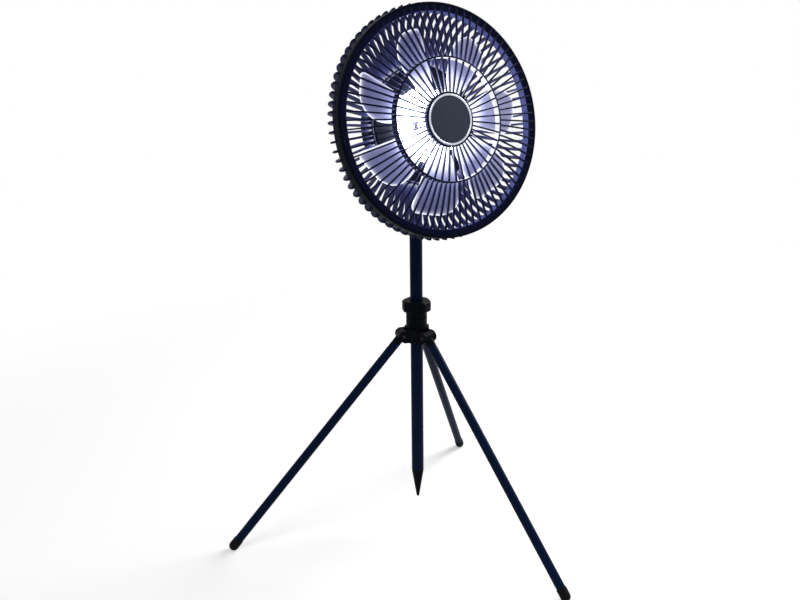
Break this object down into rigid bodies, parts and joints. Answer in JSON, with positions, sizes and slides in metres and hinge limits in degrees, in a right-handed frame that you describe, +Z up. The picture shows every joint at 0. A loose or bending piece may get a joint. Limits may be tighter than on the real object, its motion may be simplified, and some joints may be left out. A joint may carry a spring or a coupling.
{
  "type": "portable camping fan",
  "caption": "Round fan head with a ring light, domed grille and translucent blades, tilting on a pole with a ground spike, held in a clamp collar on three folding legs.",
  "frame": {"origin": "on the floor, at the centre of the bounding box, which the three feet set", "axes": "+Z up along the pole; the fan head faces -Y at rest, tilted up 12.4 degrees"},
  "size_m": [0.3806, 0.3703, 0.5985],
  "materials": {
    "black_plastic": "fine satin moulded plastic",
    "navy_plastic": "satin moulded plastic, blue-black",
    "navy_tube": "satin dark navy coated aluminium tube",
    "rubber": "matt black rubber",
    "steel": "bright steel",
    "slate_cap": "smooth slate grey plastic",
    "silver_trim": "satin bright ring",
    "blade_plastic": "translucent lavender plastic",
    "circuit_board": "green solder mask",
    "white_board": "white solder mask",
    "led_phosphor": "yellow-white light emitter",
    "diffuser": "milky translucent lens",
    "black_steel": "blackened steel",
    "motor_steel": "zinc plated steel",
    "magnet": "black magnet",
    "copper_wire": "enamelled copper wire",
    "motor_alloy": "dark cast alloy",
    "cell_wrap": "blue shrink-wrapped cell",
    "button_plastic": "soft-touch grey-black plastic",
    "clear_lens": "clear light pipe"
  },
  "bodies": {
    "stand": {"spider": "black_plastic", "leg_pins": "black_steel"},
    "clamp_nut": {"clamp_nut": "black_plastic"},
    "collet": {"collet": "black_plastic"},
    "pole": {"pole_tube": "navy_tube", "ground_spike": "black_plastic", "tilt_fork": "black_plastic", "tilt_bolt": "steel"},
    "tilt_knob": {"tilt_knob": "black_plastic"},
    "leg_1": {"leg_knuckle_1": "black_plastic", "leg_tube_1": "navy_tube", "leg_foot_1": "rubber"},
    "leg_2": {"leg_knuckle_2": "black_plastic", "leg_tube_2": "navy_tube", "leg_foot_2": "rubber"},
    "leg_3": {"leg_knuckle_3": "black_plastic", "leg_tube_3": "navy_tube", "leg_foot_3": "rubber"},
    "rotor": {"impeller": "blade_plastic", "rotor_can": "motor_steel", "rotor_magnets": "magnet", "rotor_shaft": "steel", "spinner_nut": "blade_plastic"},
    "power_button": {"power_button": "button_plastic"},
    "light_button": {"light_button": "button_plastic"},
    "port_flap": {"port_flap": "rubber"},
    "head": {"head_bracket": "black_plastic", "bracket_screws": "steel", "rim_band": "navy_plastic", "front_grille": "navy_plastic", "rear_grille": "navy_plastic", "hub_cap": "slate_cap", "hub_trim_ring": "silver_trim", "motor_housing": "black_plastic", "rear_cover": "black_plastic", "housing_screws": "steel", "led_board": "white_board", "leds": "led_phosphor", "light_diffuser": "diffuser", "motor_base": "motor_alloy", "motor_screws": "steel", "stator_core": "motor_steel", "stator_windings": "copper_wire", "motor_bearings": "steel", "battery_tray": "black_plastic", "battery_cells": "cell_wrap", "control_board": "circuit_board", "usb_socket": "steel", "indicator_lens": "clear_lens"}
  },
  "joints": [
    {"name": "leg_1_fold", "type": "hinge", "parent": "stand", "child": "leg_1", "pos_m": [0.02609, 0.01754, 0.2415], "axis": [0.9781, 0.2079, 0], "range_deg": [0, 40.4]},
    {"name": "leg_2_fold", "type": "hinge", "parent": "stand", "child": "leg_2", "pos_m": [0.03492, 0.04472, 0.2415], "axis": [-0.6691, 0.7431, 0], "range_deg": [0, 40.4]},
    {"name": "leg_3_fold", "type": "hinge", "parent": "stand", "child": "leg_3", "pos_m": [0.00697, 0.03878, 0.2415], "axis": [-0.309, -0.9511, 0], "range_deg": [0, 40.4]},
    {"name": "clamp_nut_turn", "type": "hinge", "parent": "stand", "child": "clamp_nut", "pos_m": [0.02266, 0.03368, 0.275], "axis": [0, 0, 1], "range_deg": [0, 150]},
    {"name": "pole_turn", "type": "hinge", "parent": "stand", "child": "collet", "pos_m": [0.02266, 0.03368, 0.27], "axis": [0, 0, 1], "range_deg": [-180, 180]},
    {"name": "pole_slide", "type": "slide", "parent": "collet", "child": "pole", "axis": [0, 0, 1], "range_m": [-0.036, 0.14]},
    {"name": "head_tilt", "type": "hinge", "parent": "pole", "child": "head", "pos_m": [0.02266, 0.03368, 0.395], "axis": [-1, 0, 0], "range_deg": [-40, 75]},
    {"name": "tilt_knob_turn", "type": "hinge", "parent": "pole", "child": "tilt_knob", "pos_m": [0.03666, 0.03368, 0.395], "axis": [1, 0, 0], "range_deg": [0, 180]},
    {"name": "impeller_spin", "type": "hinge", "parent": "head", "child": "rotor", "pos_m": [0.02266, -0.01028, 0.48146], "axis": [0, -0.9767, 0.2147], "continuous": true},
    {"name": "power_button_press", "type": "slide", "parent": "head", "child": "power_button", "axis": [0, -0.9767, 0.2147], "range_m": [0, 0.0008], "stiffness_N_per_m": 500},
    {"name": "light_button_press", "type": "slide", "parent": "head", "child": "light_button", "axis": [0, -0.9767, 0.2147], "range_m": [0, 0.0008], "stiffness_N_per_m": 500},
    {"name": "port_flap_open", "type": "hinge", "parent": "head", "child": "port_flap", "pos_m": [0.02266, 0.05558, 0.5109], "axis": [1, 0, 0], "range_deg": [0, 110]}
  ]
}
